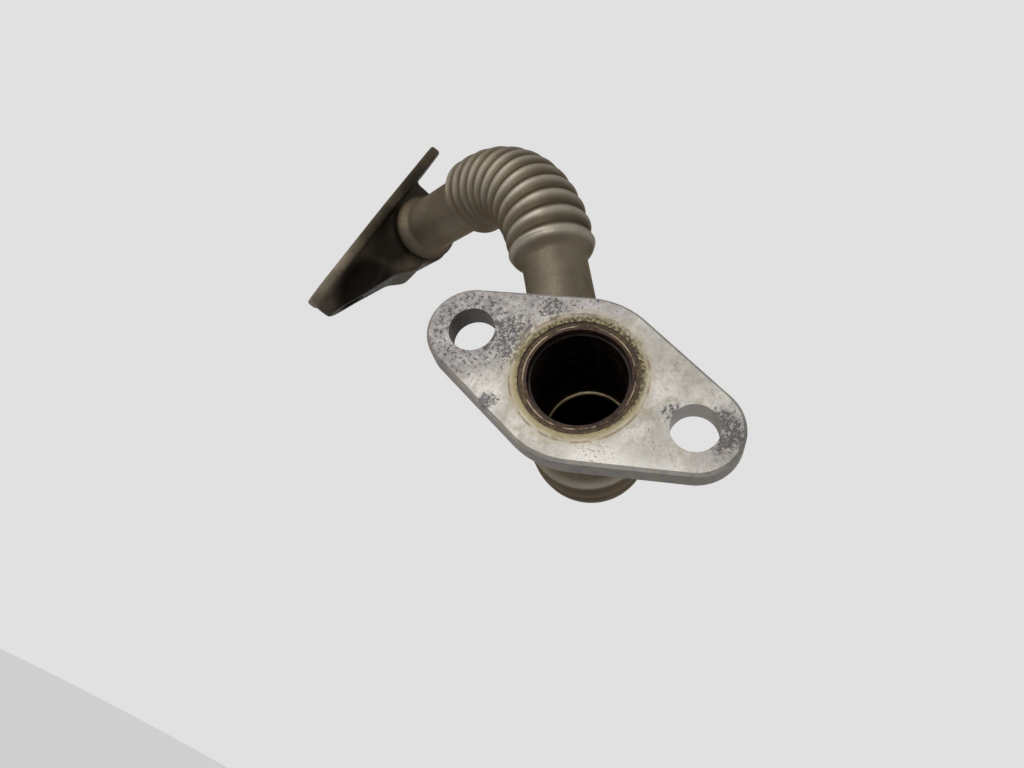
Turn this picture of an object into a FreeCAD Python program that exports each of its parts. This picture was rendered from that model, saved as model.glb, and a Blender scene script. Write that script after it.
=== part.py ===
import FreeCAD, Part
import math
import os

import Sketcher
from FreeCAD import Placement, Rotation, Vector

# Turbo oil line: a corrugated steel tube between two two-bolt flanges.
# Frame: origin at the centre of the near flange's port, on its sealing face.
# X runs along the near bolt holes, +Y runs into the line, +Z is up.

SHEET = "sizes"

# Driving sizes: millimetres, degrees, and plain counts
DRIVING_SIZES = [
    # near flange, a flat forged plate
    ("near_pitch", 46.0),
    ("near_ear_radius", 8.9),
    ("near_hub_radius", 16.8),
    ("near_thickness", 5.7),
    ("near_edge_break", 0.6),
    ("bolt_radius", 4.5),
    # joint of the near flange: ferrule and braze
    ("ferrule_wall", 0.75),
    ("ferrule_length", 11.0),
    ("ferrule_recess", 0.15),
    ("braze_width", 0.85),
    ("braze_depth", 1.4),
    ("braze_recess", 0.3),
    # tube section and its corrugations
    ("tube_radius", 9.6),
    ("tube_wall", 0.5),
    ("tube_recess", 1.5),
    ("crest_height", 3.3),
    ("groove_depth", 1.6),
    ("crest_pitch", 5.2),
    ("wide_inset", 0.4),
    ("near_crests", 16),
    ("far_crests", 12),
    # route of the tube
    ("near_run", 27.0),
    ("near_bend_radius", 47.8),
    ("near_bend_angle", 93.0),
    ("near_bend_lean", 37.5),
    ("middle_run", 26.2),
    ("far_bend_radius", 42.5),
    ("far_bend_angle", 73.8),
    ("far_bend_twist", 140.8),
    ("far_run", 43.6),
    # bead that seats the tube on the far flange
    ("bead_height", 2.9),
    ("bead_cone", 3.0),
    ("bead_band", 2.6),
    ("pilot_length", 2.4),
    # far flange, a casting with a side entry
    ("far_pitch", 60.0),
    ("far_ear_radius", 10.3),
    ("far_hub_radius", 16.0),
    ("far_thickness", 4.0),
    ("far_edge_break", 0.6),
    ("face_yaw", 32.5),
    ("face_pitch", 3.6),
    ("entry_height", 16.8),
    ("entry_offset", 6.3),
    ("entry_reach", 11.3),
    ("socket_wall", 3.1),
    ("socket_reach", 11.0),
    ("socket_end_break", 4.0),
    ("port_radius", 8.6),
    ("port_end_room", 1.0),
    # web of the casting: inset from the plate, low at the ear, high at the socket
    ("web_inset", 1.2),
    ("web_hub_radius", 13.2),
    ("web_tip_height", 9.0),
    ("web_neck_reach", 13.2),
    ("web_neck_height", 19.5),
    ("web_foot_reach", 7.7),
    ("web_foot_height", 24.5),
    ("web_crown_reach", 12.0),
    ("web_crown_height", 26.5),
    ("web_back_reach", 20.5),
    ("web_back_height", 11.0),
    # clearances
    ("tube_fit", 0.1),
    ("bore_fit", 0.1),
    ("seat_gap", 0.1),
    ("bead_clearance", 0.4),
    ("over_cut", 1.0),
]


def make_sheet(doc):
    sheet = doc.addObject("Spreadsheet::Sheet", SHEET)
    for row, (alias, value) in enumerate(DRIVING_SIZES, start=1):
        sheet.set(f"A{row}", alias)
        sheet.set(f"B{row}", str(value))
        sheet.setAlias(f"B{row}", alias)
    doc.recompute()
    return sheet


def bind(item, **formulas):
    for prop, formula in formulas.items():
        item.setExpression(prop.replace("__", "."), formula)


# Value of a formula in the sheet's aliases
def value_of(sheet, formula):
    return sheet.evalExpression(formula.replace(f"{SHEET}.", ""))


def origin_plane(body, role):
    return next(item for item in body.Origin.OriginFeatures if item.Role == role)


# Outline of a two-bolt plate: two ears and a hub joined by tangent flanks
def draw_plate_outline(sketch, sheet, pitch_formula, ear_formula, hub_formula):
    half_pitch = value_of(sheet, pitch_formula) / 2
    ear = value_of(sheet, ear_formula)
    hub = value_of(sheet, hub_formula)
    flank = math.acos((hub - ear) / half_pitch)
    turn = 2 * math.pi
    up = Vector(0, 0, 1)

    def arc(x, radius, start, end):
        return Part.ArcOfCircle(Part.Circle(Vector(x, 0, 0), up, radius), start, end)

    arcs = [
        arc(half_pitch, ear, turn - flank, turn + flank),
        arc(0, hub, flank, math.pi - flank),
        arc(-half_pitch, ear, math.pi - flank, math.pi + flank),
        arc(0, hub, math.pi + flank, turn - flank),
    ]
    ids = [sketch.addGeometry(item, False) for item in arcs]
    for here, after in ((0, 1), (1, 2), (2, 3), (3, 0)):
        line = Part.LineSegment(arcs[here].EndPoint, arcs[after].StartPoint)
        ids.append(sketch.addGeometry(line, False))
        sketch.addConstraint(Sketcher.Constraint("Tangent", ids[here], 2, ids[-1], 1))
        sketch.addConstraint(Sketcher.Constraint("Tangent", ids[-1], 2, ids[after], 1))
    right_ear, top_hub, left_ear, low_hub = ids[:4]
    for centred in (top_hub, low_hub):
        sketch.addConstraint(Sketcher.Constraint("Coincident", centred, 3, -1, 1))
    for ear_arc in (right_ear, left_ear):
        sketch.addConstraint(Sketcher.Constraint("PointOnObject", ear_arc, 3, -1))
    sketch.addConstraint(Sketcher.Constraint("Equal", right_ear, left_ear))
    sketch.addConstraint(Sketcher.Constraint("Equal", top_hub, low_hub))
    named = (
        ("right_reach", ("DistanceX", -1, 1, right_ear, 3, half_pitch), f"({pitch_formula}) / 2"),
        ("left_reach", ("DistanceX", left_ear, 3, -1, 1, half_pitch), f"({pitch_formula}) / 2"),
        ("ear_radius", ("Radius", right_ear, ear), ear_formula),
        ("hub_radius", ("Radius", top_hub, hub), hub_formula),
    )
    for name, values, formula in named:
        index = sketch.addConstraint(Sketcher.Constraint(*values))
        sketch.renameConstraint(index, name)
        sketch.setExpression(f"Constraints.{name}", formula)


# Closed polygon in a sketch, every corner bound to the sheet
def draw_polygon(sketch, sheet, corner_formulas):
    corners = [[value_of(sheet, formula) for formula in pair] for pair in corner_formulas]
    for number, (x, y) in enumerate(corners):
        end = corners[(number + 1) % len(corners)]
        sketch.addGeometry(Part.LineSegment(Vector(x, y, 0), Vector(end[0], end[1], 0)), False)
    for number, (corner, pair) in enumerate(zip(corners, corner_formulas)):
        before = (number - 1) % len(corners)
        sketch.addConstraint(Sketcher.Constraint("Coincident", before, 2, number, 1))
        for axis, value, formula in zip("XY", corner, pair):
            limit = Sketcher.Constraint(f"Distance{axis}", -1, 1, number, 1, value)
            index = sketch.addConstraint(limit)
            sketch.renameConstraint(index, f"corner_{number}_{axis}")
            sketch.setExpression(f"Constraints.corner_{number}_{axis}", formula)


# Circles along the X axis of a sketch, each bound to a place and a radius
def draw_circles(sketch, circles):
    for number, (place, place_formula, radius, radius_formula) in enumerate(circles):
        circle = Part.Circle(Vector(place, 0, 0), Vector(0, 0, 1), radius)
        index = sketch.addGeometry(circle, False)
        if place_formula is None:
            sketch.addConstraint(Sketcher.Constraint("Coincident", index, 3, -1, 1))
        else:
            sketch.addConstraint(Sketcher.Constraint("PointOnObject", index, 3, -1))
            ends = (-1, 1, index, 3) if place > 0 else (index, 3, -1, 1)
            reach = sketch.addConstraint(Sketcher.Constraint("DistanceX", *ends, abs(place)))
            sketch.renameConstraint(reach, f"reach_{number}")
            sketch.setExpression(f"Constraints.reach_{number}", place_formula)
        size = sketch.addConstraint(Sketcher.Constraint("Radius", index, radius))
        sketch.renameConstraint(size, f"radius_{number}")
        sketch.setExpression(f"Constraints.radius_{number}", radius_formula)


def new_sketch(body, name):
    sketch = body.newObject("Sketcher::SketchObject", name)
    sketch.AttachmentSupport = (origin_plane(body, "XZ_Plane"), [""])
    sketch.MapMode = "FlatFace"
    return sketch


# Ring turned about Y from a closed profile of radius and distance
def revolved_ring(doc, sheet, name, corner_formulas):
    body = doc.addObject("PartDesign::Body", name)
    sketch = body.newObject("Sketcher::SketchObject", f"{name}_profile")
    sketch.AttachmentSupport = (origin_plane(body, "XY_Plane"), [""])
    sketch.MapMode = "FlatFace"
    draw_polygon(sketch, sheet, corner_formulas)
    turned = body.newObject("PartDesign::Revolution", f"{name}_turned")
    turned.Profile = sketch
    turned.ReferenceAxis = (origin_plane(body, "Y_Axis"), [""])
    turned.Angle = 360
    body.Tip = turned
    return body


# Near flange: a plate with two bolt holes, a bore for the ferrule and a braze groove
def make_near_flange(doc, sheet):
    body = doc.addObject("PartDesign::Body", "near_flange")
    outline = new_sketch(body, "near_outline")
    near = f"{SHEET}.near"
    draw_plate_outline(outline, sheet, f"{near}_pitch", f"{near}_ear_radius", f"{near}_hub_radius")
    plate = body.newObject("PartDesign::Pad", "near_plate")
    plate.Profile = outline
    plate.Reversed = True
    bind(plate, Length=f"{SHEET}.near_thickness")
    doc.recompute()

    broken = body.newObject("PartDesign::Chamfer", "near_rims")
    faces = (0, sheet.near_thickness)
    broken.Base = (plate, [name for face in faces for name in edges_at(plate.Shape, face)])
    bind(broken, Size=f"{SHEET}.near_edge_break")
    doc.recompute()

    half_pitch = f"{SHEET}.near_pitch / 2"
    bolt = f"{SHEET}.bolt_radius"
    bore = f"{SHEET}.tube_radius + {SHEET}.tube_fit + {SHEET}.ferrule_wall + {SHEET}.bore_fit"
    bore_radius = sheet.tube_radius + sheet.tube_fit + sheet.ferrule_wall + sheet.bore_fit
    holes = new_sketch(body, "near_holes")
    draw_circles(holes, (
        (sheet.near_pitch / 2, half_pitch, sheet.bolt_radius, bolt),
        (-sheet.near_pitch / 2, half_pitch, sheet.bolt_radius, bolt),
        (0, None, bore_radius, bore),
    ))
    drilled = body.newObject("PartDesign::Pocket", "near_drilling")
    drilled.Profile = holes
    drilled.Reversed = False
    bind(drilled, Length=f"{SHEET}.near_thickness + {SHEET}.over_cut")
    groove = new_sketch(body, "near_groove")
    groove_radius = bore_radius + sheet.braze_width
    draw_circles(groove, ((0, None, groove_radius, f"{bore} + {SHEET}.braze_width"),))
    counterbore = body.newObject("PartDesign::Pocket", "near_counterbore")
    counterbore.Profile = groove
    counterbore.Reversed = False
    bind(counterbore, Length=f"{SHEET}.braze_depth")
    body.Tip = counterbore
    return body


# Names of the edges that lie in the plane at one Y, within a rounding error
def edges_at(shape, height, rounding=0.00001):
    names = []
    for number, edge in enumerate(shape.Edges, start=1):
        box = edge.BoundBox
        if max(abs(box.YMin - height), abs(box.YMax - height)) < rounding:
            names.append(f"Edge{number}")
    return names


# Ferrule: a thin sleeve in the near flange that holds the tube's end
def make_near_ferrule(doc, sheet):
    inner = f"{SHEET}.tube_radius + {SHEET}.tube_fit"
    outer = f"{inner} + {SHEET}.ferrule_wall"
    front = f"{SHEET}.ferrule_recess"
    back = f"{front} + {SHEET}.ferrule_length"
    corners = ((inner, front), (outer, front), (outer, back), (inner, back))
    return revolved_ring(doc, sheet, "near_ferrule", corners)


# Braze: the ring of filler in the groove between the ferrule and the near flange
def make_near_braze(doc, sheet):
    inner = f"{SHEET}.tube_radius + {SHEET}.tube_fit + {SHEET}.ferrule_wall"
    outer = f"{inner} + {SHEET}.bore_fit + {SHEET}.braze_width"
    low = f"{SHEET}.braze_recess"
    deep = f"{SHEET}.braze_depth"
    corners = ((inner, low), (outer, low), (outer, deep), (inner, deep))
    return revolved_ring(doc, sheet, "near_braze", corners)


# Route of the tube: runs and bends in order from the sealing face
class Route:
    def __init__(self, sheet):
        self.pieces = []
        self.length = 0.0
        frame = Placement(Vector(0, 0, 0), Rotation(Vector(0, 0, 1), Vector(0, 1, 0)))
        lean = math.radians(sheet.near_bend_lean)
        rise = Vector(-math.sin(lean), 0, math.cos(lean))
        frame = self.add_run(frame, sheet.near_run)
        self.near_bend = self.length
        frame = self.add_bend(frame, rise, sheet.near_bend_radius, sheet.near_bend_angle)
        tangent = frame.Rotation.multVec(Vector(0, 0, 1))
        side = Vector(0, 1, 0).cross(rise)
        inward = side.cross(tangent)
        twist = Rotation(tangent, -sheet.far_bend_twist)
        frame = self.add_run(frame, sheet.middle_run)
        self.far_bend = self.length
        inward = twist.multVec(inward)
        frame = self.add_bend(frame, inward, sheet.far_bend_radius, sheet.far_bend_angle)
        self.add_run(frame, sheet.far_run)

    def add_run(self, frame, length):
        self.pieces.append((self.length, length, frame, None, None))
        self.length += length
        return frame.multiply(Placement(Vector(0, 0, length), Rotation()))

    def add_bend(self, frame, inward, radius, angle):
        tangent = frame.Rotation.multVec(Vector(0, 0, 1))
        centre = frame.Base + inward * radius
        axis = tangent.cross(inward)
        length = math.radians(angle) * radius
        self.pieces.append((self.length, length, frame, centre, axis))
        self.length += length
        return turned_about(frame, centre, axis, angle)

    # Solid round rods of one radius between two distances; the last run may be passed
    def rods(self, radius, first, last):
        rods = []
        ends = [start for start, _, _, _, _ in self.pieces[1:]] + [max(last, self.length)]
        for (start, _, frame, centre, axis), end in zip(self.pieces, ends):
            low = max(first, start) if start > 0 else first
            high = min(last, end)
            if high <= low:
                continue
            if centre is None:
                rod = Part.makeCylinder(radius, high - low)
                rod.Placement = self.frame_at(low)
            else:
                rim = Part.Circle(Vector(0, 0, 0), Vector(0, 0, 1), radius).toShape()
                rim.Placement = self.frame_at(low)
                turned = math.degrees((high - low) / (frame.Base - centre).Length)
                rod = Part.Face(Part.Wire([rim])).revolve(centre, axis, turned)
            rods.append(rod)
        return rods

    # Frame at a distance along the route, its Z axis along the tube
    def frame_at(self, distance):
        start, length, frame, centre, axis = self.pieces[0]
        for piece in self.pieces:
            if piece[0] <= distance:
                start, length, frame, centre, axis = piece
        step = distance - start
        if centre is None:
            return frame.multiply(Placement(Vector(0, 0, step), Rotation()))
        radius = (frame.Base - centre).Length
        return turned_about(frame, centre, axis, math.degrees(step / radius))


def turned_about(frame, centre, axis, angle):
    turn = Rotation(axis, angle)
    base = centre + turn.multVec(frame.Base - centre)
    return Placement(base, turn.multiply(frame.Rotation))


# First distance and count of crests of each corrugated stretch, centred on its bend
def corrugated_stretches(sheet, route):
    bends = (
        (route.near_bend, sheet.near_bend_radius, sheet.near_bend_angle, sheet.near_crests),
        (route.far_bend, sheet.far_bend_radius, sheet.far_bend_angle, sheet.far_crests),
    )
    stretches = []
    for start, radius, angle, count in bends:
        middle = start + math.radians(angle) * radius / 2
        stretches.append((middle - sheet.crest_pitch * int(count) / 2, int(count)))
    return stretches


# Outer radii along the tube, as pairs of distance and radius
def tube_stations(sheet, route):
    root = sheet.tube_radius
    crest = root + sheet.crest_height
    groove = crest - sheet.groove_depth
    pitch = sheet.crest_pitch
    stations = [(sheet.tube_recess, root)]
    for first, count in corrugated_stretches(sheet, route):
        stations.append((first, root))
        for number in range(count):
            middle_of_crest = first + (number + 0.5) * pitch
            stations += [(middle_of_crest, crest), (middle_of_crest + pitch / 2, groove)]
        stations[-1] = (first + count * pitch, root)
    seat = route.length
    bead = root + sheet.bead_height
    stations += [
        (seat - sheet.bead_band - sheet.bead_cone, root),
        (seat - sheet.bead_band, bead),
        (seat, bead),
    ]
    return stations


def loft_along(route, stations):
    rings = []
    for distance, radius in stations:
        frame = route.frame_at(distance)
        ring = Part.Circle(Vector(0, 0, 0), Vector(0, 0, 1), radius).toShape()
        ring.Placement = frame
        rings.append(Part.Wire([ring]))
    return Part.makeLoft(rings, True, True)


# Tube: one piece, its bends corrugated, with a bead and a pilot at the far end
def make_oil_tube(doc, sheet, route):
    outer = tube_stations(sheet, route)
    bore = sheet.tube_radius - sheet.tube_wall
    seat = route.length
    end = seat + sheet.pilot_length
    body = loft_along(route, outer)
    pilot_frame = route.frame_at(seat - sheet.bead_band)
    pilot = Part.makeCylinder(sheet.tube_radius, sheet.bead_band + sheet.pilot_length)
    pilot.Placement = pilot_frame
    body = body.fuse(pilot)
    ways = route.rods(bore, sheet.tube_recess - sheet.over_cut, end + sheet.over_cut)
    wide = sheet.tube_radius + sheet.crest_height - sheet.groove_depth - sheet.tube_wall
    for first, count in corrugated_stretches(sheet, route):
        inset = sheet.crest_pitch * sheet.wide_inset
        ways += route.rods(wide, first + inset, first + count * sheet.crest_pitch - inset)
    tube = doc.addObject("Part::Feature", "oil_tube")
    tube.Shape = body.cut(ways[0].multiFuse(ways[1:]))
    return tube


# Far flange: a cast plate with a web and a socket, which the tube enters from the side
def make_far_flange(doc, sheet, route):
    seat_frame = route.frame_at(route.length)
    yaw = Rotation(Vector(0, 0, 1), sheet.face_yaw)
    inward = yaw.multVec(Vector(1, 0, 0))
    across = yaw.multVec(Vector(0, 1, 0))
    tilt = Rotation(across, sheet.face_pitch)
    hole_line = tilt.multVec(Vector(0, 0, 1))
    inward = tilt.multVec(inward)
    pose = Rotation(hole_line, inward, across, "XYZ")
    entry = Vector(sheet.entry_offset, sheet.entry_height, -sheet.entry_reach)
    place = Placement(seat_frame.Base - pose.multVec(entry), pose)
    flow = pose.inverted().multVec(seat_frame.Rotation.multVec(Vector(0, 0, 1)))

    far = f"{SHEET}.far"
    slab = extruded_outline(
        doc, sheet, "far_slab", f"{far}_thickness",
        (f"{far}_pitch", f"{far}_ear_radius", f"{far}_hub_radius"))
    doc.recompute()
    plate = doc.addObject("Part::Chamfer", "far_plate")
    plate.Base = slab
    size = sheet.far_edge_break
    rims = edges_at(slab.Shape, 0) + edges_at(slab.Shape, sheet.far_thickness)
    plate.Edges = [(int(name[4:]), size, size) for name in rims]

    # the web stands on the plate, inset from its rim, and carries the socket
    web = f"{SHEET}.web"
    plan = extruded_outline(
        doc, sheet, "web_plan", f"{web}_crown_height + {SHEET}.over_cut",
        (f"{far}_pitch", f"{far}_ear_radius - {web}_inset", f"{web}_hub_radius"))
    side = doc.addObject("Sketcher::SketchObject", "web_side")
    tip = f"0 - {far}_pitch / 2 - {far}_ear_radius"
    foot_height = f"{far}_thickness - {far}_edge_break * 2"
    draw_polygon(side, sheet, (
        (tip, foot_height),
        (tip, f"{web}_tip_height"),
        (f"0 - {web}_neck_reach", f"{web}_neck_height"),
        (f"0 - {web}_foot_reach", f"{web}_foot_height"),
        (f"{web}_crown_reach", f"{web}_crown_height"),
        (f"{web}_back_reach", f"{web}_back_height"),
        (f"{web}_back_reach", foot_height),
    ))
    side_slab = doc.addObject("Part::Extrusion", "web_side_slab")
    side_slab.Base = side
    side_slab.DirMode = "Normal"
    side_slab.Solid = True
    side_slab.Symmetric = True
    bind(side_slab, LengthFwd=f"({web}_hub_radius + {SHEET}.over_cut) * 2")
    hood = doc.addObject("Part::MultiCommon", "web")
    hood.Shapes = [plan, side_slab]

    along = Rotation(Vector(0, 0, 1), flow)
    socket = doc.addObject("Part::Cylinder", "socket")
    bind(
        socket,
        Radius=f"{SHEET}.tube_radius + {SHEET}.socket_wall",
        Height=f"{SHEET}.entry_reach + {SHEET}.socket_reach - {SHEET}.seat_gap",
    )
    socket.Placement = Placement(entry + flow * sheet.seat_gap, along)
    doc.recompute()
    closed_end = doc.addObject("Part::Chamfer", "socket_body")
    closed_end.Base = socket
    size = sheet.socket_end_break
    closed_end.Edges = [(number, size, size) for number in rims_beyond(socket.Shape, entry, flow)]
    solid = doc.addObject("Part::MultiFuse", "far_casting")
    solid.Shapes = [plate, hood, closed_end]
    solid.Refine = True

    # passages: a stepped entry for the pilot that meets the drilled port
    entry_bore = doc.addObject("Part::Cylinder", "entry_bore")
    bind(
        entry_bore,
        Radius=f"{SHEET}.tube_radius + {SHEET}.tube_fit",
        Height=f"{SHEET}.pilot_length + {SHEET}.over_cut * 2",
    )
    entry_bore.Placement = Placement(entry - flow * sheet.over_cut, along)
    bead_room = doc.addObject("Part::Cylinder", "bead_room")
    bind(
        bead_room,
        Radius=f"{SHEET}.tube_radius + {SHEET}.bead_height + {SHEET}.bead_clearance",
        Height=f"{SHEET}.bead_band + {SHEET}.bead_cone",
    )
    bead_room.Placement = Placement(
        entry + flow * (sheet.seat_gap - sheet.bead_band - sheet.bead_cone), along)
    entry_way = doc.addObject("Part::Cylinder", "entry_way")
    bind(
        entry_way,
        Radius=f"{SHEET}.port_radius",
        Height=f"{SHEET}.entry_reach + {SHEET}.port_radius",
    )
    entry_way.Placement = Placement(entry, along)
    port = doc.addObject("Part::Cylinder", "port")
    bind(
        port,
        Radius=f"{SHEET}.port_radius",
        Height=f"{SHEET}.entry_height + {SHEET}.port_end_room + {SHEET}.over_cut",
    )
    port.Placement = Placement(
        Vector(0, -sheet.over_cut, 0), Rotation(Vector(1, 0, 0), -90))
    holes = []
    for side, sign in (("upper", 1), ("lower", -1)):
        hole = doc.addObject("Part::Cylinder", f"{side}_hole")
        bind(
            hole,
            Radius=f"{SHEET}.bolt_radius",
            Height=f"{SHEET}.entry_height + {SHEET}.over_cut",
        )
        hole.Placement = Placement(
            Vector(sign * sheet.far_pitch / 2, -sheet.over_cut, 0),
            Rotation(Vector(1, 0, 0), -90))
        holes.append(hole)
    ways = doc.addObject("Part::MultiFuse", "far_ways")
    ways.Shapes = [entry_bore, bead_room, entry_way, port] + holes
    flange = cut(doc, "far_flange", solid, ways)
    flange.Placement = place
    return flange


# Two-bolt outline in the XZ plane, extruded along +Y
def extruded_outline(doc, sheet, name, height_formula, outline_formulas):
    outline = doc.addObject("Sketcher::SketchObject", f"{name}_outline")
    outline.Placement = Placement(Vector(0, 0, 0), Rotation(Vector(1, 0, 0), 90))
    draw_plate_outline(outline, sheet, *outline_formulas)
    slab = doc.addObject("Part::Extrusion", name)
    slab.Base = outline
    slab.DirMode = "Normal"
    slab.Solid = True
    slab.Reversed = True
    bind(slab, LengthFwd=height_formula)
    return slab


# Numbers of the round edges of a socket that lie past its mouth
def rims_beyond(shape, mouth, flow):
    numbers = []
    for number, edge in enumerate(shape.Edges, start=1):
        reach = (edge.BoundBox.Center - mouth).dot(flow)
        if len(edge.Vertexes) == 1 and reach > edge.Length / 8:
            numbers.append(number)
    return numbers


def cut(doc, name, base, tool):
    result = doc.addObject("Part::Cut", name)
    result.Base = base
    result.Tool = tool
    return result


def check_document(doc, parts):
    doc.recompute()
    for item in doc.Objects:
        if "Invalid" in item.State or "Error" in item.State:
            raise RuntimeError(f"{item.Name} failed: {item.State}")
    for part in parts:
        shape = part.Shape
        if shape.isNull() or not shape.isValid():
            raise RuntimeError(f"{part.Label} has no valid shape")
        if len(shape.Solids) != 1:
            raise RuntimeError(f"{part.Label} has {len(shape.Solids)} solids")
        print(f"{part.Label}: {shape.Volume:.1f} mm3, faces {len(shape.Faces)}")


def main():
    doc = FreeCAD.newDocument("turbo_oil_line")
    sheet = make_sheet(doc)
    route = Route(sheet)
    parts = [
        make_near_flange(doc, sheet),
        make_near_ferrule(doc, sheet),
        make_near_braze(doc, sheet),
        make_oil_tube(doc, sheet, route),
        make_far_flange(doc, sheet, route),
    ]
    check_document(doc, parts)
    os.makedirs("parts", exist_ok=True)
    for part in parts:
        part.Shape.exportStep(f"parts/{part.Label}.step")


main()
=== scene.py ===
import bmesh
import bpy
import math
from mathutils import Matrix, Quaternion, Vector


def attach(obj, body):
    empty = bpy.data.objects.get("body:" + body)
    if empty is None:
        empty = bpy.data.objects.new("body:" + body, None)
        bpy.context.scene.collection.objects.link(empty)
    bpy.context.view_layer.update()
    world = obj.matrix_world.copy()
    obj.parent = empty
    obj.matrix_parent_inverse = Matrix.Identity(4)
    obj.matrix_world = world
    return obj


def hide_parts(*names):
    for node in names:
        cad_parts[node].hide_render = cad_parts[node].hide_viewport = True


# Turbo oil line, dressed: a stained flat flange with a brazed sleeve, a satin
# tube with rolled corrugations in both bends, and a rough cast elbow flange.
# Lengths in this script are millimetres until a mesh or an object is made.

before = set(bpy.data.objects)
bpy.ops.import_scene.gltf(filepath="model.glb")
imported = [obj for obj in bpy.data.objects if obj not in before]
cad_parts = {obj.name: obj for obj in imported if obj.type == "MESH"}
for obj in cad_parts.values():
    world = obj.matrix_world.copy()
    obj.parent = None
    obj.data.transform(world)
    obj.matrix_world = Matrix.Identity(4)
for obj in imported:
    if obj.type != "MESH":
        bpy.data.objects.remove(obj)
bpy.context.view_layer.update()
metre = 0.001


def linearColour(hexText):
    channels = []
    for start in (1, 3, 5):
        value = int(hexText[start:start + 2], 16) / 255
        value = value / 12.92 if value <= 0.04045 else ((value + 0.055) / 1.055) ** 2.4
        channels.append(value)
    return (*channels, 1.0)


# Adds a node, sets its options, and fills its sockets with values or links
def addNode(tree, kind, inputs=None, **options):
    node = tree.nodes.new("ShaderNode" + kind)
    for key, value in options.items():
        setattr(node, key, value)
    for key, value in (inputs or {}).items():
        if isinstance(value, bpy.types.NodeSocket):
            tree.links.new(value, node.inputs[key])
        else:
            node.inputs[key].default_value = value
    return node


# Opens a finish: object coordinates in millimetres, the distance from the near
# bore's axis, the finish's own grains and the attributes painted on the mesh.
# A grain is its size in millimetres, its detail, roughness and distortion.
def startFinish(look):
    material = bpy.data.materials.new(look["name"])
    material.use_nodes = True
    tree = material.node_tree
    tree.nodes.clear()
    coordinates = addNode(tree, "TexCoord").outputs["Object"]
    place = addNode(tree, "VectorMath", {0: coordinates, "Scale": 1 / metre}, operation="SCALE").outputs[0]
    axes = addNode(tree, "SeparateXYZ", {0: place}).outputs
    flat = addNode(tree, "VectorMath", {0: place, 1: (1.0, 0.0, 1.0)}, operation="MULTIPLY").outputs[0]
    reach = addNode(tree, "VectorMath", {0: flat}, operation="LENGTH").outputs["Value"]
    values = {"place": place, "flat": flat, "reach": reach, "x": axes[0], "y": axes[1], "z": axes[2]}
    for name, (size, detail, rough, warp) in look["grains"].items():
        inputs = {"Vector": place, "Scale": 1 / size, "Detail": detail, "Roughness": rough}
        values[name] = addNode(tree, "TexNoise", {**inputs, "Distortion": warp}).outputs[0]
    for name in look.get("painted", ()):
        values[name] = addNode(tree, "Attribute", attribute_name=name).outputs["Fac"]
    return material, tree, values


# A share is a number, a named value, or a named value eased from one pair of
# levels to another: name, low, high, share at low, share at high
def shareOf(tree, values, term):
    if isinstance(term, float):
        return term
    if isinstance(term, str):
        return values[term]
    name, low, high, atLow, atHigh = term
    inputs = {"Value": values[name], "From Min": low, "From Max": high}
    inputs |= {"To Min": atLow, "To Max": atHigh}
    return addNode(tree, "MapRange", inputs, interpolation_type="SMOOTHSTEP").outputs[0]


# The strongest of some soft round patches: centre, reach, core and weight
def strongestPatch(tree, place, patches):
    strongest = None
    for centre, reach, core, weight in patches:
        away = addNode(tree, "VectorMath", {0: place, 1: centre}, operation="DISTANCE").outputs["Value"]
        share = shareOf(tree, {"away": away}, ("away", reach * core, reach, weight, 0.0))
        if strongest is not None:
            share = addNode(tree, "Math", {0: strongest, 1: share}, operation="MAXIMUM").outputs[0]
        strongest = share
    return strongest


# Lays coats over a colour, each as strong as the product of its shares
def layCoats(tree, values, colour, coats):
    for coat, *terms in coats:
        strength = shareOf(tree, values, terms[0])
        for term in terms[1:]:
            inputs = {0: strength, 1: shareOf(tree, values, term)}
            strength = addNode(tree, "Math", inputs, operation="MULTIPLY").outputs[0]
        coatColour = values[coat] if coat in values else linearColour(coat)
        inputs = {0: strength, 6: colour, 7: coatColour}
        colour = addNode(tree, "Mix", inputs, data_type="RGBA").outputs[2]
    return colour


# Closes a finish: its relief, which is a value, a strength and a depth in
# millimetres, its roughness, and its shine
def shadeFinish(tree, values, look, colour):
    relief, strength, depth = look["relief"]
    inputs = {"Height": values[relief], "Strength": strength, "Distance": depth * metre}
    bump = addNode(tree, "Bump", inputs).outputs["Normal"]
    roughness = shareOf(tree, values, look["roughness"])
    if "polish" in look:
        name, amount = look["polish"]
        inputs = {0: values[name], 1: -amount, 2: roughness}
        roughness = addNode(tree, "Math", inputs, operation="MULTIPLY_ADD").outputs[0]
    return addNode(tree, "BsdfPrincipled", {
        "Base Color": colour,
        "Metallic": look["metallic"],
        "Roughness": roughness,
        "Specular IOR Level": look["specular"],
        "Specular Tint": linearColour(look["edgeTint"]),
        "Normal": bump,
    }).outputs[0]


def makeFinish(look):
    material, tree, values = startFinish(look)
    colour = layCoats(tree, values, linearColour(look["base"]), look["coats"])
    addNode(tree, "OutputMaterial", {0: shadeFinish(tree, values, look, colour)})
    return material


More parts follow.
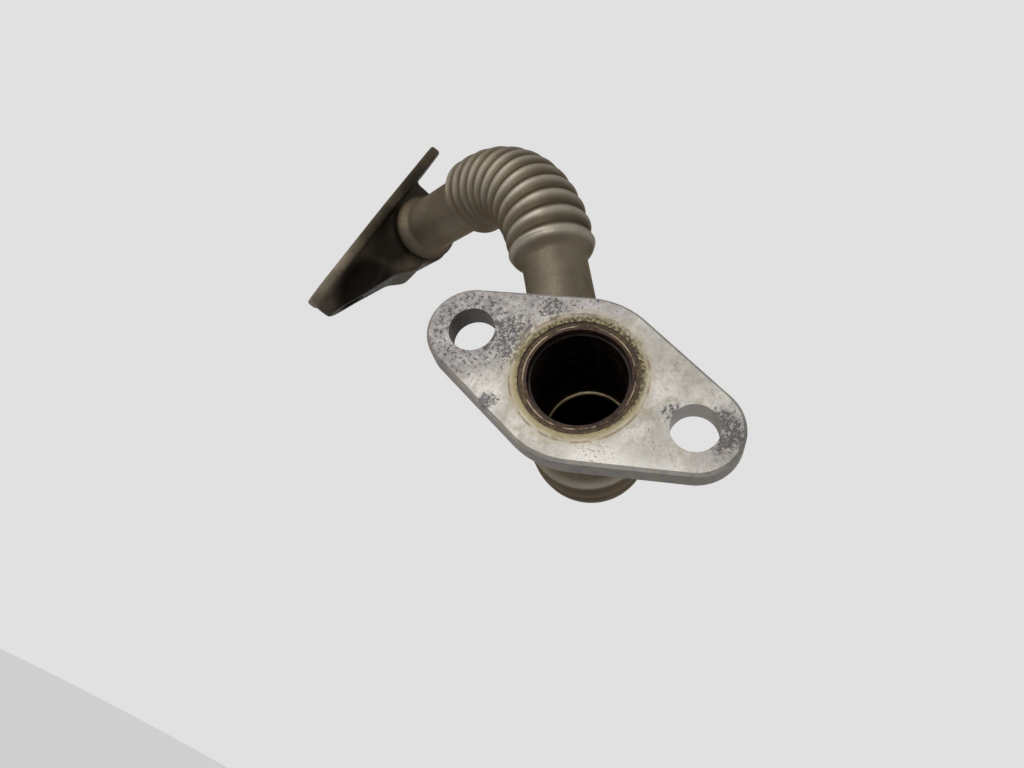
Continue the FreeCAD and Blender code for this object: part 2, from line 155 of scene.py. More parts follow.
# Near flange: machined steel gone dull, so its face is pale and softly clouded,
# with a painted highlight paling its lower right. A grey-violet film covers its
# -X ear and upper side, with pits in patches, and the heat left an olive tint, a
# thin brown circle and soot round the bore.
flangeLook = {
    "name": "stainedSteel",
    "grains": {
        "cloud": (7.0, 4.0, 0.6, 0.0),
        "warmth": (2.6, 4.0, 0.65, 0.0),
        "grain": (0.6, 4.0, 0.8, 0.0),
        "stain": (1.6, 6.0, 0.75, 0.0),
        "drift": (5.0, 4.0, 0.6, 0.0),
        "mottle": (2.5, 5.0, 0.65, 0.0),
        "shade": (1.0, 5.0, 0.8, 0.0),
        "thinning": (1.3, 6.0, 0.75, 0.0),
        "pit": (0.9, 6.0, 0.8, 0.0),
        "rustGrain": (0.6, 4.0, 0.7, 0.0),
        "waver": (3.0, 3.0, 0.55, 0.0),
        "broken": (3.0, 2.0, 0.55, 0.0),
        "sootGrain": (0.7, 4.0, 0.7, 0.0),
        "edgeGrain": (1.6, 4.0, 0.65, 0.0),
    },
    "filmSlope": (-0.5, 0.0, 0.9),  # the way in which the film thickens
    "filmDrift": 14.0,  # how far its edge wanders
    "filmLine": ("drifting", 15.0, 23.0, 0.0, 0.75),
    "filmMottle": ("mottle", 0.34, 0.56, 0.45, 1.0),
    "filmHaze": (0.65, 0.35),  # gain and least share of the stains beneath it
    "ears": (((-25.0, 0.0, 0.0), 14.0, 0.5, 1.0), ((28.5, 0.0, 1.0), 7.5, 0.4, 0.75)),
    "filmColours": ("#6F6B74", ("#938E92", ("shade", 0.4, 0.6, 0.0, 1.0))),
    "pits": (
        ((-15.5, 0.0, 1.5), 8.5, 0.3, 0.78),
        ((-11.2, 0.0, 10.4), 4.6, 0.25, 0.7),
        ((-12.9, 0.0, -11.6), 2.9, 0.2, 1.0),
        ((-23.0, 0.0, 0.0), 11.0, 0.6, 0.45),
        ((18.3, 0.0, 0.9), 3.2, 0.2, 0.7),
        ((27.5, 0.0, 1.5), 6.0, 0.4, 0.85),
    ),
    "pitsUnderFilm": 0.35,  # how dense the pits are away from their patches
    "pitGain": 0.17,
    "pitLevels": ("speck", 0.6, 0.66, 0.0, 0.85),
    "pitDepth": 2.0,
    "rust": (((9.5, 0.0, -12.0), 6.0, 0.2, 1.0),),
    "rustGain": 0.13,
    "tintReach": 12.9,
    "tintWaver": 1.1,
    "sootRise": 0.05,
    "base": "#B4B0A8",
    "coats": (
        ("#D8D4CD", ("cloud", 0.35, 0.65, 0.0, 1.0)),
        ("#A39985", ("warmth", 0.46, 0.7, 0.0, 0.75)),
        ("#938E92", ("grain", 0.48, 0.66, 0.0, 0.55)),
        ("#938E92", ("stain", 0.5, 0.64, 0.0, 0.5), "filmHaze"),
        # painted highlight: the lower right of the face is made paler where the lamps' reflection falls
        ("#E6E3DC", ("z", -5.0, -14.0, 0.0, 1.0), ("x", 1.0, 9.0, 0.0, 1.0), 0.85),
        ("filmColour", "film", ("thinning", 0.38, 0.56, 0.9, 0.45)),
        ("#4E4B51", "pitted"),
        ("#7A6046", ("rusty", 0.66, 0.74, 0.0, 0.7)),
        ("#A3966F", ("wavering", 0.55, 2.35, 0.35, 0.0)),
        ("#988A5C", ("wavering", -0.45, 0.65, 0.9, 0.0), ("grain", 0.4, 0.65, 1.0, 0.6)),
        ("#7A6046", ("ringGap", 0.08, 0.34, 0.7, 0.0), ("broken", 0.38, 0.6, 0.0, 1.0)),
        ("#33261B", ("sooty", 11.3, 12.5, 1.0, 0.0), ("sootGrain", 0.38, 0.58, 0.0, 1.0)),
    ),
    "facing": ("facing", 0.55, 0.9, 0.0, 1.0),
    "leftHole": (((-23.0, 0.0, 0.0), 5.0, 0.94, 0.45),),
    "rightHole": (((23.0, 0.0, 0.0), 5.0, 0.94, 0.45),),
    "edge": "#8A8273",
    "edgeCoats": (
        ("#6F6B74", ("edgeGrain", 0.4, 0.7, 0.0, 1.0)),
        # painted shade on the left bolt hole's wall, painted light on the right bolt hole's wall
        ("#4E4B51", "shadedLeftWall"),
        ("#D8D4CD", "litRightWall"),
        ("face", "onFace"),
    ),
    "metallic": 0.35,
    "roughness": ("film", 0.0, 1.0, 0.5, 0.62),
    "relief": ("dented", 0.5, 0.1),
    "specular": 0.4,
    "edgeTint": "#FFFFFF",
}


def makeFlangeSteel():
    look = flangeLook
    material, tree, values = startFinish(look)
    place = values["place"]

    # the film, along a drifting line and in mottled patches on the ears
    inputs = {0: place, 1: look["filmSlope"]}
    slope = addNode(tree, "VectorMath", inputs, operation="DOT_PRODUCT").outputs["Value"]
    inputs = {0: values["drift"], 1: look["filmDrift"], 2: slope}
    values["drifting"] = addNode(tree, "Math", inputs, operation="MULTIPLY_ADD").outputs[0]
    inputs = {0: strongestPatch(tree, place, look["ears"]), 1: shareOf(tree, values, look["filmMottle"])}
    ears = addNode(tree, "Math", inputs, operation="MULTIPLY").outputs[0]
    inputs = {0: shareOf(tree, values, look["filmLine"]), 1: ears}
    values["film"] = addNode(tree, "Math", inputs, operation="MAXIMUM").outputs[0]
    inputs = {0: values["film"], 1: look["filmHaze"][0], 2: look["filmHaze"][1]}
    values["filmHaze"] = addNode(tree, "Math", inputs, operation="MULTIPLY_ADD").outputs[0]
    darkFilm, *filmCoats = look["filmColours"]
    values["filmColour"] = layCoats(tree, values, linearColour(darkFilm), filmCoats)

    # pits, denser in their patches and under the film, and a spray of rust
    inputs = {0: values["film"], 1: look["pitsUnderFilm"]}
    thinly = addNode(tree, "Math", inputs, operation="MULTIPLY").outputs[0]
    inputs = {0: thinly, 1: strongestPatch(tree, place, look["pits"])}
    density = addNode(tree, "Math", inputs, operation="MAXIMUM").outputs[0]
    inputs = {0: density, 1: look["pitGain"], 2: values["pit"]}
    values["speck"] = addNode(tree, "Math", inputs, operation="MULTIPLY_ADD").outputs[0]
    values["pitted"] = shareOf(tree, values, look["pitLevels"])
    inputs = {0: strongestPatch(tree, place, look["rust"]), 1: look["rustGain"], 2: values["rustGrain"]}
    values["rusty"] = addNode(tree, "Math", inputs, operation="MULTIPLY_ADD").outputs[0]
    inputs = {0: values["pitted"], 1: -look["pitDepth"], 2: values["grain"]}
    values["dented"] = addNode(tree, "Math", inputs, operation="MULTIPLY_ADD").outputs[0]

    # distances from the tint's edge, and the soot's reach, greater above the bore
    inputs = {0: values["reach"], 1: look["tintReach"]}
    past = addNode(tree, "Math", inputs, operation="SUBTRACT").outputs[0]
    inputs = {0: values["waver"], 1: look["tintWaver"], 2: past}
    values["wavering"] = addNode(tree, "Math", inputs, operation="MULTIPLY_ADD").outputs[0]
    values["ringGap"] = addNode(tree, "Math", {0: past}, operation="ABSOLUTE").outputs[0]
    inputs = {0: values["z"], 1: -look["sootRise"], 2: values["reach"]}
    values["sooty"] = addNode(tree, "Math", inputs, operation="MULTIPLY_ADD").outputs[0]

    # plain greyer walls, with painted shade on the left bolt hole's wall and painted light on the right's,
    # and the stained face over them where the steel faces along Y
    values["face"] = layCoats(tree, values, linearColour(look["base"]), look["coats"])
    normal = addNode(tree, "NewGeometry").outputs["Normal"]
    along = addNode(tree, "SeparateXYZ", {0: normal}).outputs["Y"]
    values["facing"] = addNode(tree, "Math", {0: along}, operation="ABSOLUTE").outputs[0]
    values["onFace"] = shareOf(tree, values, look["facing"])
    values["shadedLeftWall"] = strongestPatch(tree, values["flat"], look["leftHole"])
    values["litRightWall"] = strongestPatch(tree, values["flat"], look["rightHole"])
    colour = layCoats(tree, values, linearColour(look["edge"]), look["edgeCoats"])
    addNode(tree, "OutputMaterial", {0: shadeFinish(tree, values, look, colour)})
    return material


# Sleeve in the bore: steel burnt brown-black by oil, with a bare line at its rim
sleeveLook = {
    "name": "burntSteel",
    "grains": {"film": (0.9, 4.0, 0.65, 0.0), "rubbed": (3.5, 3.0, 0.55, 0.0)},
    "base": "#241610",
    "coats": (
        ("#4A3324", ("film", 0.4, 0.7, 0.0, 1.0)),
        (
            "#A3947A",
            ("reach", 10.2, 10.32, 0.0, 1.0),
            ("rubbed", 0.4, 0.6, 0.0, 1.0),
            ("y", 0.3, 0.6, 1.0, 0.0),
        ),
    ),
    "metallic": 0.6,
    "roughness": ("film", 0.3, 0.7, 0.3, 0.5),
    "relief": ("film", 0.3, 0.1),
    "specular": 0.5,
    "edgeTint": "#FFFFFF",
}

# Filler ring: braze baked dark brown and flecked with soot
brazeLook = {
    "name": "sootyBraze",
    "grains": {"cloud": (2.0, 3.0, 0.6, 0.0), "film": (0.5, 4.0, 0.7, 0.0)},
    "base": "#463726",
    "coats": (
        ("#6B5839", ("cloud", 0.35, 0.65, 0.0, 1.0)),
        ("#33261B", ("film", 0.38, 0.55, 0.0, 0.9)),
    ),
    "metallic": 0.35,
    "roughness": 0.5,
    "relief": ("film", 0.6, 0.2),
    "specular": 0.4,
    "edgeTint": "#FFFFFF",
}

# Tube outside: drawn stainless with a brown-grey oxide that makes it satin, with painted shade
# darkening the grooves, and the ridges rubbed pale and lightened further as a painted highlight
tubeLook = {
    "name": "satinStainless",
    "grains": {"broad": (14.0, 3.0, 0.55, 0.0), "brown": (8.0, 4.0, 0.6, 0.4), "grain": (0.6, 3.0, 0.7, 0.0)},
    "painted": ("grooveShade", "paintedShadeAndOil", "ridgeRubAndSheen"),
    "base": "#685F52",
    "coats": (
        ("#776E60", ("broad", 0.35, 0.65, 0.0, 1.0)),
        ("#7A6348", ("brown", 0.5, 0.7, 0.0, 0.45)),
        ("#4B453C", ("grain", 0.45, 0.8, 0.0, 0.35)),
        # painted shade: the grooves darken where the corrugation dips, standing for the shade inside them
        ("#453B2D", "grooveShade", 0.8),
        # painted shade: the tube's last millimetres before the casting are darkened
        ("#2A241D", "paintedShadeAndOil"),
        # rubbed wear with a painted highlight: the ridges are paled to stand for the crests' highlights
        ("#9D968A", "ridgeRubAndSheen", ("brown", 0.4, 0.7, 0.95, 0.6)),
    ),
    "metallic": 0.85,
    "roughness": ("grain", 0.3, 0.7, 0.5, 0.6),
    "polish": ("ridgeRubAndSheen", 0.1),
    "relief": ("grain", 0.3, 0.1),
    "specular": 0.5,
    "edgeTint": "#8C857A",
}

# Tube inside: steel blackened by burnt oil, which swallows the light
boreLook = {
    "name": "oiledBore",
    "grains": {"film": (3.0, 4.0, 0.6, 0.0)},
    "base": "#120C0B",
    "coats": (("#2A1E18", ("film", 0.4, 0.7, 0.0, 1.0)),),
    "metallic": 0.55,
    "roughness": ("film", 0.3, 0.7, 0.3, 0.5),
    "relief": ("film", 0.3, 0.2),
    "specular": 0.5,
    "edgeTint": "#FFFFFF",
}

# Rubbed lip inside the tube, a thin dull-gold line in the dark bore
lipLook = {
    "name": "rubbedSteel",
    "grains": {"film": (1.0, 3.0, 0.6, 0.0)},
    "base": "#877650",
    "coats": (("#5C4C31", ("film", 0.35, 0.7, 0.0, 1.0)),),
    "metallic": 0.2,
    "roughness": 0.4,
    "relief": ("film", 0.3, 0.1),
    "specular": 0.5,
    "edgeTint": "#FFFFFF",
}

# Far flange: sand-cast iron with a rough brown-grey skin, paler along its rim as painted
# light, and black in its pocket and beside the socket from painted shade with oil
castingLook = {
    "name": "rawCasting",
    "grains": {"broad": (8.0, 4.0, 0.6, 0.0), "rust": (5.0, 4.0, 0.65, 0.5), "skin": (0.8, 4.0, 0.7, 0.0)},
    "painted": ("paintedRimLight", "paintedShadeAndOil"),
    "base": "#463F35",
    "coats": (
        ("#574E42", ("broad", 0.35, 0.65, 0.0, 1.0)),
        ("#5B4634", ("rust", 0.55, 0.75, 0.0, 0.5)),
        ("#332D26", ("skin", 0.45, 0.75, 0.0, 0.4)),
        # painted light: the plate's edge is made paler toward its lower ear, where its lit side faces the
        # lamps
        ("#958A79", "paintedRimLight", ("broad", 0.35, 0.65, 0.45, 0.9)),
        # painted shade with dark oil, in the pocket and beside the socket
        ("#17130F", "paintedShadeAndOil"),
    ),
    "metallic": 0.4,
    "roughness": ("skin", 0.3, 0.7, 0.5, 0.68),
    "relief": ("skin", 0.5, 0.25),
    "specular": 0.3,
    "edgeTint": "#8C857A",
}

stainedSteel = makeFlangeSteel()
burntSteel = makeFinish(sleeveLook)
sootyBraze = makeFinish(brazeLook)
satinStainless = makeFinish(tubeLook)
oiledBore = makeFinish(boreLook)
rubbedSteel = makeFinish(lipLook)
rawCasting = makeFinish(castingLook)
print("materials made")


def shadeSmooth(mesh, angle):
    for polygon in mesh.polygons:
        polygon.use_smooth = True
    mesh.set_sharp_from_angle(angle=math.radians(angle))


def dressNode(name, material):
    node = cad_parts[name]
    node.data.materials.clear()
    node.data.materials.append(material)


dressNode("near_flange", stainedSteel)
dressNode("near_ferrule", burntSteel)
dressNode("near_braze", sootyBraze)
print("near end dressed")


# Tube: the route's runs and bends, with rolled corrugations in each bend. Bends
# are a radius and an angle, grooves a depth outside and inside the bend, and
# spans along a corrugation are shares of its pitch.
tube = {
    "radius": 9.6,
    "bore": 9.1,
    "mouth": 1.5,
    "nearRun": 27.0,
    "nearBend": (47.8, 93.0),
    "nearLean": 37.5,
    "middleRun": 26.2,
    "farBend": (42.5, 73.8),
    "farTwist": 140.8,
    "farRun": 43.6,
    "pitch": 5.2,
    "crests": (16, 12),
    "crest": 12.9,
    "shifts": (0.0, 1.2),
    "grooves": ((0.4, 0.1), (1.3, 0.15)),
    "grooveSide": (-0.9, 0.6),
    "grooveWidth": 2.2,
    "lead": 2.4,
    "leadEnd": 0.45,
    "shoulder": 0.4,
    "shoulderSpan": (0.36, 0.56),
    # ridge shares of rub and painted highlight: on the first crest's plain side, and by groove depth
    "shoulderRubAndSheen": (0.05, 0.4),
    "ridgeRubAndSheenByDepth": (0.2, 0.9),
    "ridgeNarrow": 3,
    "wideBore": 10.8,
    "wideInset": 3.2,
    "wideEase": 1.4,
    "flareHeight": 2.4,
    "flareReach": 7.5,
    "flareRoll": 2.6,
    "flareDrop": 0.75,
    # painted shade at the tube's far end: its reach back from the seat, and its most
    "paintedShadeReach": 9.0,
    "paintedShadeMost": 0.95,
    "lipBand": (27.4, 28.5),
    "lipHeight": 0.4,
    "lipEdges": (0.15, 0.1),
    "pilot": 2.4,
    "around": 96,
    "outerFine": 18,
    "innerFine": 4,
    "flareFine": 24,
    "plainStep": 3.0,
    "smoothAngle": 40,
}


# Centreline pieces: start distance, length, point, tangent, and for a bend its centre and axis
def makeRoute():
    lean = math.radians(tube["nearLean"])
    point = Vector((0, 0, 0))
    tangent = Vector((0, 1, 0))
    rise = Vector((-math.sin(lean), 0, math.cos(lean)))
    pieces = []
    distance = 0.0

    def addRun(length):
        nonlocal point, distance
        pieces.append((distance, length, point.copy(), tangent.copy(), None, None))
        point = point + tangent * length
        distance += length

    def addBend(inward, radius, angle):
        nonlocal point, tangent, distance
        centre = point + inward * radius
        axis = tangent.cross(inward)
        length = math.radians(angle) * radius
        pieces.append((distance, length, point.copy(), tangent.copy(), centre, axis))
        turn = Quaternion(axis, math.radians(angle))
        point = centre + turn @ (point - centre)
        tangent = turn @ tangent
        distance += length

    addRun(tube["nearRun"])
    addBend(rise, *tube["nearBend"])
    side = Vector((0, 1, 0)).cross(rise)
    inward = Quaternion(tangent, -math.radians(tube["farTwist"])) @ side.cross(tangent)
    addRun(tube["middleRun"])
    addBend(inward, *tube["farBend"])
    addRun(tube["farRun"])
    return pieces, distance


routePieces, seat = makeRoute()
bends = [piece for piece in routePieces if piece[4] is not None]


def routeAt(distance):
    chosen = routePieces[0]
    for piece in routePieces:
        if piece[0] <= distance:
            chosen = piece
    start, _, point, tangent, centre, axis = chosen
    step = distance - start
    if centre is None:
        return point + tangent * step, tangent
    turn = Quaternion(axis, step / (point - centre).length)
    return centre + turn @ (point - centre), turn @ tangent


def smooth(value, low, high):
    share = min(1.0, max(0.0, (value - low) / (high - low)))
    return share * share * (3 - 2 * share)


# Corrugated stretches: first and last distance, the bend, and its groove depths
def makeStretches():
    found = []
    for bend, count, shift, grooves in zip(bends, tube["crests"], tube["shifts"], tube["grooves"]):
        middle = bend[0] + bend[1] / 2 + shift
        first = middle - tube["pitch"] * count / 2
        found.append((first, first + tube["pitch"] * count, bend, grooves))
    return found


stretches = makeStretches()


# Outer radius, the share of painted groove shade, and the ridge share of rub with a painted highlight, at a
# distance and an outward direction
def outerRadius(distance, outward):
    for first, last, bend, (outsideDepth, insideDepth) in stretches:
        if not first - tube["lead"] <= distance <= last + tube["lead"]:
            continue
        place, _ = routeAt(min(max(distance, bend[0]), bend[0] + bend[1]))
        towards = outward.dot((bend[4] - place).normalized())
        depth = insideDepth + (outsideDepth - insideDepth) * smooth(-towards, *tube["grooveSide"])
        phase = (distance - first) / tube["pitch"]
        wave = abs(math.cos(math.pi * phase)) ** tube["grooveWidth"]
        edge = min(phase, (last - first) / tube["pitch"] - phase)
        ramped = smooth(edge, -tube["lead"] / tube["pitch"], tube["leadEnd"])
        crestLine = tube["radius"] + (tube["crest"] - tube["radius"]) * ramped
        crestLine -= tube["shoulder"] * ramped * (1 - smooth(edge, *tube["shoulderSpan"]))
        # on the plain side of the first or last crest the ridge share is a painted highlight on the shoulder
        if edge < 0.5:  # the plain side of the first or last crest
            return crestLine, 0.0, smooth(edge, *tube["shoulderRubAndSheen"])
        # the ridge share: rubbed wear and a painted highlight, strongest where the grooves are deep
        rubbed = (1 - wave) ** tube["ridgeNarrow"] * smooth(depth, *tube["ridgeRubAndSheenByDepth"])
        return crestLine - depth * wave, wave * depth / tube["grooves"][1][0], rubbed
    reach = seat - distance
    if 0 <= reach <= tube["flareReach"]:
        rise = smooth(tube["flareReach"] - reach, 0.0, tube["flareReach"] - tube["flareRoll"])
        roll = max(0.0, 1 - reach / tube["flareRoll"])
        fall = 1 - math.sqrt(max(0.0, 1 - roll * roll))
        collar = tube["flareHeight"] * rise - tube["flareRoll"] * tube["flareDrop"] * fall
        return tube["radius"] + collar, 0.0, 0.0
    return tube["radius"], 0.0, 0.0


def innerRadius(distance):
    if tube["lipBand"][0] < distance <= tube["lipBand"][1]:
        return tube["bore"] - tube["lipHeight"]
    for first, last, _, _ in stretches:
        edge = min(distance - first, last - distance) - tube["wideInset"]
        if edge >= 0:
            return tube["bore"] + (tube["wideBore"] - tube["bore"]) * smooth(edge, 0.0, tube["wideEase"])
    return tube["bore"]


def stationsAlong(first, last, fine):
    marks = [first, last]
    for low, high, _, _ in stretches:
        low -= tube["lead"]
        high += tube["lead"]
        steps = int((high - low) / fine)
        marks += [low + (high - low) * step / steps for step in range(steps + 1)]
    marks += [seat - tube["flareReach"] * step / tube["flareFine"] for step in range(tube["flareFine"] + 1)]
    for mark, step in zip(tube["lipBand"], tube["lipEdges"]):
        marks += [mark, mark + step]
    plain = first
    while plain < last:
        marks.append(plain)
        plain += tube["plainStep"]
    return sorted({round(mark, 3) for mark in marks if first <= mark <= last})


# Directions round the tube, carried along without twist
def carriedFrames(distances):
    frames = []
    across = Vector((1, 0, 0))
    for distance in distances:
        place, tangent = routeAt(distance)
        across = (across - tangent * across.dot(tangent)).normalized()
        frames.append((place, across.copy(), tangent.cross(across)))
    return frames


def makeTube():
    mesh = bpy.data.meshes.new("corrugatedTube")
    build = bmesh.new()
    grooveShade = build.verts.layers.float.new("grooveShade")
    paintedShadeAndOil = build.verts.layers.float.new("paintedShadeAndOil")
    ridgeRubAndSheen = build.verts.layers.float.new("ridgeRubAndSheen")
    around = tube["around"]
    end = seat + tube["pilot"]

    def addRings(distances, radiusAt):
        rings = []
        for distance, (place, across, up) in zip(distances, carriedFrames(distances)):
            ring = []
            for number in range(around):
                angle = 2 * math.pi * number / around
                outward = across * math.cos(angle) + up * math.sin(angle)
                radius, shadedGroove, rubbed = radiusAt(distance, outward)
                vertex = build.verts.new((place + outward * radius) * metre)
                # painted shade in the grooves
                vertex[grooveShade] = shadedGroove
                vertex[ridgeRubAndSheen] = rubbed
                # painted shade, darker towards the seat at the casting
                vertex[paintedShadeAndOil] = tube["paintedShadeMost"] * smooth(distance, seat - tube["paintedShadeReach"], seat)
                ring.append(vertex)
            rings.append(ring)
        return rings

    def join(first, second, slot, flip=False):
        for number in range(around):
            after = (number + 1) % around
            corners = [first[number], first[after], second[after], second[number]]
            face = build.faces.new(corners[::-1] if flip else corners)
            face.material_index = slot

    outerMarks = stationsAlong(tube["mouth"], seat, tube["pitch"] / tube["outerFine"])
    outer = addRings(outerMarks, outerRadius)
    pilotRings = addRings([seat, end], lambda distance, outward: (tube["radius"], 0.0, 0.0))
    innerMarks = stationsAlong(tube["mouth"], end, tube["pitch"] / tube["innerFine"])
    inner = addRings(innerMarks, lambda distance, outward: (innerRadius(distance), 0.0, 0.0))
    outside, inside, lip = range(3)
    for first, second in zip(outer, outer[1:]):
        join(first, second, outside)
    join(outer[-1], pilotRings[0], outside)
    join(pilotRings[0], pilotRings[1], outside)
    join(pilotRings[1], inner[-1], inside)
    for mark, first, second in zip(innerMarks, inner, inner[1:]):
        onLip = tube["lipBand"][0] <= mark < tube["lipBand"][1]
        join(first, second, lip if onLip else inside, flip=True)
    join(inner[0], outer[0], inside)
    build.to_mesh(mesh)
    build.free()
    for material in (satinStainless, oiledBore, rubbedSteel):
        mesh.materials.append(material)
    shadeSmooth(mesh, tube["smoothAngle"])
    piece = bpy.data.objects.new("corrugatedTube", mesh)
    bpy.context.scene.collection.objects.link(piece)
    return piece


corrugatedTube = makeTube()
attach(corrugatedTube, "root")
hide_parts("oil_tube")
print("tube made", len(corrugatedTube.data.polygons))


# Far flange: the CAD casting recut as one soft cast form with a cored pocket.
# Places on it run along the hole line, then inward from its sealing face.
casting = {
    "place": Vector((-137.4507, 127.0152, 71.8371)),
    "holeLine": Vector((0.052957, 0.033737, 0.998027)),
    "inward": Vector((0.841727, 0.536239, -0.062791)),
    "voxel": 0.45,
    "softening": 0.5,
    "plateRounds": 8,
    "webRounds": 36,
    "plateTop": 4.4,
    "crispDepth": 0.4,
    "boltPlaces": (-30.0, 30.0),
    "boltRadius": 4.5,
    "portRadius": 8.6,
    "crispRing": 0.4,
    "pocket": (-24.5, 9.8),
    "pocketReach": (13.5, 6.0),
    "pocketDepth": 4.0,
    "openSide": 6.0,
    "patchCore": 0.5,
    # patches of painted shade with oil, in the pocket and on the web by the socket: centre, reach and most
    "shadeAndOilPatches": (
        ((-24.5, 13.0), (17.0, 12.5), 1.0),
        ((-2.0, 11.0), (20.0, 11.0), 0.9),
        ((18.0, 7.0), (14.0, 9.0), 0.6),
    ),
    # the painted light on the plate's edge: depth from the face, and place along the hole line
    "rimLightDepth": (3.0, 5.0),
    "rimLightAlong": (-32.0, -8.0),
    "tipRadius": 9.9,
    "tipFrom": 7.8,
    "tipPast": 2.0,
    "tipDepth": (3.8, 4.8),
    "smoothAngle": 50,
}


def castingPlace(point):
    away = point / metre - casting["place"]
    side = casting["holeLine"].cross(casting["inward"])
    return away.dot(casting["holeLine"]), away.dot(casting["inward"]), away.dot(side)


# Sealing face and drilled walls stay crisp while the rest is smoothed
def isCrisp(along, deep, side):
    if deep < casting["crispDepth"]:
        return True
    if math.hypot(along, side) < casting["portRadius"] + casting["crispRing"]:
        return True
    nearBolt = casting["boltRadius"] + casting["crispRing"]
    return any(math.hypot(along - bolt, side) < nearBolt for bolt in casting["boltPlaces"])


def patchShare(spot, centre, reach):
    along, deep, side = spot
    if side > casting["openSide"]:
        return 0.0
    away = math.hypot((along - centre[0]) / reach[0], (deep - centre[1]) / reach[1])
    return 1 - smooth(away, casting["patchCore"], 1.0)


# The web's tip swells out to the plate's round end
def tipShift(spot):
    along, deep, side = spot
    bolt = casting["boltPlaces"][0]
    away = Vector((along - bolt, side))
    if along > bolt + casting["tipPast"] or not casting["tipFrom"] <= away.length <= casting["tipRadius"]:
        return Vector((0, 0))
    return away.normalized() * (casting["tipRadius"] - away.length) * smooth(deep, *casting["tipDepth"])


def makeCasting():
    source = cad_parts["far_flange"]
    mesh = source.data.copy()
    mesh.transform(source.matrix_world)
    piece = bpy.data.objects.new("castElbow", mesh)
    bpy.context.scene.collection.objects.link(piece)
    recut = piece.modifiers.new("recut", "REMESH")
    recut.mode = "VOXEL"
    recut.voxel_size = casting["voxel"] * metre
    shaped = bpy.data.meshes.new_from_object(piece.evaluated_get(bpy.context.evaluated_depsgraph_get()))
    piece.modifiers.clear()
    build = bmesh.new()
    build.from_mesh(shaped)
    paintedShadeAndOil = build.verts.layers.float.new("paintedShadeAndOil")
    paintedRimLight = build.verts.layers.float.new("paintedRimLight")
    plate = []
    web = []
    sideways = casting["holeLine"].cross(casting["inward"])
    for vertex in build.verts:
        spot = castingPlace(vertex.co)
        # painted shade and oil: the pocket and the web beside the socket are darkened
        shadeAndOils = [patchShare(spot, centre, reach) * most for centre, reach, most in casting["shadeAndOilPatches"]]
        vertex[paintedShadeAndOil] = max(shadeAndOils)
        # painted light: a paler band along the plate's edge toward its lower ear
        shallow = 1 - smooth(spot[1], *casting["rimLightDepth"])
        vertex[paintedRimLight] = shallow * (1 - smooth(spot[0], *casting["rimLightAlong"]))
        if isCrisp(*spot):
            continue
        dent = casting["pocketDepth"] * patchShare(spot, casting["pocket"], casting["pocketReach"])
        swell = tipShift(spot)
        vertex.co += (sideways * (dent + swell.y) + casting["holeLine"] * swell.x) * metre
        plate.append(vertex)
        if spot[1] > casting["plateTop"]:
            web.append(vertex)
    axes = {"use_axis_x": True, "use_axis_y": True, "use_axis_z": True}
    for group, rounds in ((plate, casting["plateRounds"]), (web, casting["webRounds"])):
        for _ in range(rounds):
            bmesh.ops.smooth_vert(build, verts=group, factor=casting["softening"], **axes)
    build.to_mesh(shaped)
    build.free()
    piece.data = shaped
    shaped.materials.clear()
    shaped.materials.append(rawCasting)
    shadeSmooth(shaped, casting["smoothAngle"])
    return piece


castElbow = makeCasting()
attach(castElbow, "root")
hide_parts("far_flange")
print("casting made", len(castElbow.data.polygons))


# Rays that see the plain pale background: the camera's, and those off metal or through glass
def backgroundRays(tree):
    rays = addNode(tree, "LightPath").outputs
    inputs = {0: rays["Is Glossy Ray"], 1: rays["Is Transmission Ray"]}
    bounced = addNode(tree, "Math", inputs, operation="MAXIMUM").outputs[0]
    return addNode(tree, "Math", {0: rays["Is Camera Ray"], 1: bounced}, operation="MAXIMUM").outputs[0]


# Floor: a round table top of matt pale paper, well below the part, whose edge
# shows as a slightly darker corner
floorLook = {
    "name": "palePaper",
    "grains": {"fibre": (6.0, 3.0, 0.55, 0.0)},
    "base": "#E3E3E3",
    "coats": (("#E7E7E7", ("fibre", 0.3, 0.7, 0.0, 1.0)),),
    "metallic": 0.0,
    "roughness": 0.9,
    "relief": ("fibre", 0.05, 0.1),
    "specular": 0.1,
    "edgeTint": "#FFFFFF",
    "shownColour": "#DCDCDC",
    "shown": 0.8,
    "height": -160.0,
    "radius": 420.0,
    "thickness": 12.0,
    "around": 96,
}


def makePaper():
    look = floorLook
    material, tree, values = startFinish(look)
    colour = layCoats(tree, values, linearColour(look["base"]), look["coats"])
    paper = shadeFinish(tree, values, look, colour)
    glow = addNode(tree, "Emission", {"Color": linearColour(look["shownColour"]), "Strength": 1.0})
    inputs = {0: backgroundRays(tree), 1: look["shown"]}
    share = addNode(tree, "Math", inputs, operation="MULTIPLY").outputs[0]
    mixed = addNode(tree, "MixShader", {0: share, 1: paper, 2: glow.outputs[0]})
    addNode(tree, "OutputMaterial", {0: mixed.outputs[0]})
    return material


def makeFloor():
    mesh = bpy.data.meshes.new("studioFloor")
    build = bmesh.new()
    around = floorLook["around"]
    out = floorLook["radius"] * metre
    rings = []
    for drop in (0.0, floorLook["thickness"]):
        height = (floorLook["height"] - drop) * metre
        ring = []
        for number in range(around):
            turn = 2 * math.pi * number / around
            ring.append(build.verts.new((out * math.cos(turn), out * math.sin(turn), height)))
        rings.append(ring)
    top, bottom = rings
    build.faces.new(top)
    build.faces.new(bottom[::-1])
    for number in range(around):
        after = (number + 1) % around
        build.faces.new((bottom[number], bottom[after], top[after], top[number]))
    build.to_mesh(mesh)
    build.free()
    mesh.materials.append(makePaper())
    floor = bpy.data.objects.new("studioFloor", mesh)
    bpy.context.scene.collection.objects.link(floor)
    return floor


makeFloor()
print("floor made")


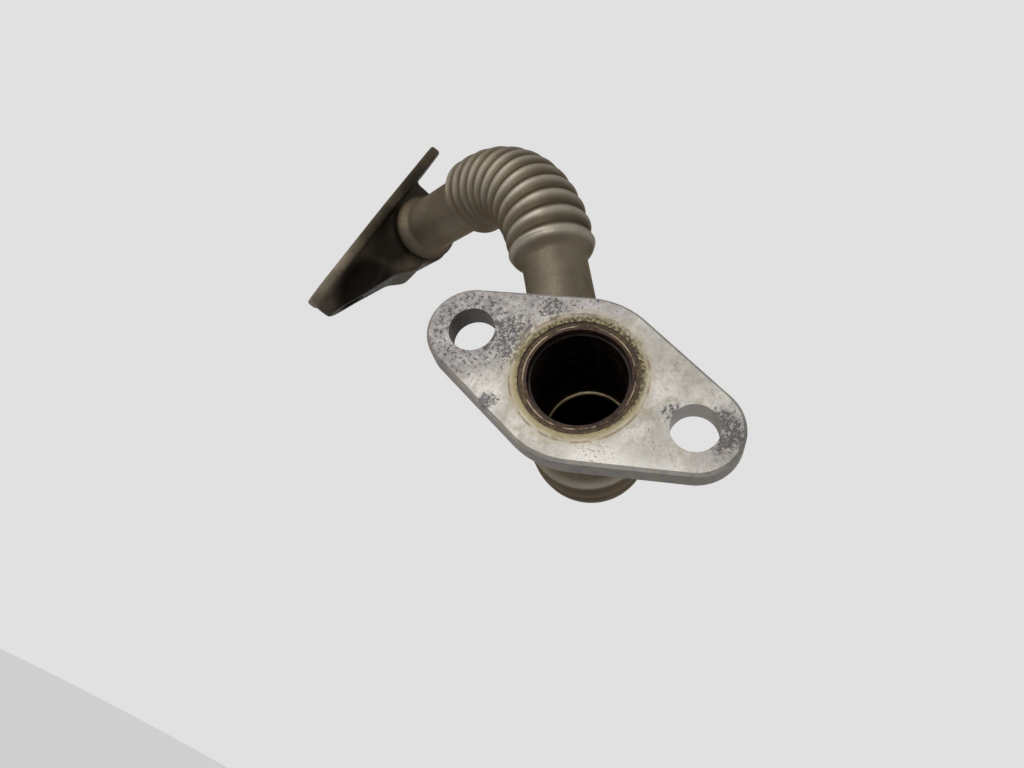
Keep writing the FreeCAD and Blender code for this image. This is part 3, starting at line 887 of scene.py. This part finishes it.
# Camera at the photograph's viewing angle
cameraLook = {
    "place": Vector((42.15, -148.84, -56.81)),
    "right": Vector((0.8626, 0.1405, 0.4859)),
    "down": Vector((0.3943, 0.4150, -0.8199)),
    "focalPixels": 900.0,
    "frameWidth": 1024.0,
    "sensorWidth": 36.0,
    "clip": (0.01, 50),
}


def makeCamera():
    right = cameraLook["right"].normalized()
    back = right.cross(-cameraLook["down"]).normalized()
    up = back.cross(right)
    data = bpy.data.cameras.new("photoCamera")
    data.sensor_width = cameraLook["sensorWidth"]
    data.lens = cameraLook["sensorWidth"] * cameraLook["focalPixels"] / cameraLook["frameWidth"]
    data.clip_start, data.clip_end = cameraLook["clip"]
    camera = bpy.data.objects.new("photoCamera", data)
    turn = Matrix((right, up, back)).transposed()
    camera.matrix_world = Matrix.Translation(cameraLook["place"] * metre) @ turn.to_4x4()
    bpy.context.scene.collection.objects.link(camera)
    bpy.context.scene.camera = camera
    return turn


cameraTurn = makeCamera()


# Soft studio light: each lamp's place to the camera's right, up and back in
# metres, then its size, its power and its colour
lampTarget = Vector((-0.05, 0.06, 0.04))
lamps = {
    "keyLight": ((-0.5, 0.95, 0.6), 0.6, 3.9, "#FFFCF6"),
    "fillLight": ((0.9, 0.2, 0.6), 0.7, 0.1, "#FFDDB0"),
    "sideLight": ((-0.85, 0.3, 0.78), 1.0, 5.6, "#FFFFFF"),
    "frontLight": ((-0.15, 0.1, 1.0), 0.25, 2.2, "#FFFDF8"),
    "backLight": ((0.3, 0.1, -1.0), 0.9, 2.0, "#FFFFFF"),
}


def addLamp(name, place, size, power, tint):
    data = bpy.data.lights.new(name, "AREA")
    data.shape = "DISK"
    data.size = size
    data.energy = power
    data.color = linearColour(tint)[:3]
    lamp = bpy.data.objects.new(name, data)
    lamp.location = lampTarget + cameraTurn @ Vector(place)
    lamp.rotation_mode = "QUATERNION"
    lamp.rotation_quaternion = (lampTarget - lamp.location).to_track_quat("-Z", "Y")
    bpy.context.scene.collection.objects.link(lamp)


for lampName, lampValues in lamps.items():
    addLamp(lampName, *lampValues)

# World: a pale grey behind everything, and a little plain light
worldLook = {"shownColour": "#E1E1E1", "lightColour": "#FFFFFF", "light": 0.13}


def makeWorld():
    world = bpy.data.worlds.new("studioWorld")
    world.use_nodes = True
    tree = world.node_tree
    tree.nodes.clear()
    shown = addNode(tree, "Background", {"Color": linearColour(worldLook["shownColour"]), "Strength": 1.0})
    light = {"Color": linearColour(worldLook["lightColour"]), "Strength": worldLook["light"]}
    lit = addNode(tree, "Background", light)
    mixed = addNode(tree, "MixShader", {0: backgroundRays(tree), 1: lit.outputs[0], 2: shown.outputs[0]})
    addNode(tree, "OutputWorld", {0: mixed.outputs[0]})
    bpy.context.scene.world = world


makeWorld()
bpy.context.scene.view_settings.view_transform = "Standard"
print("camera, lamps and world made")
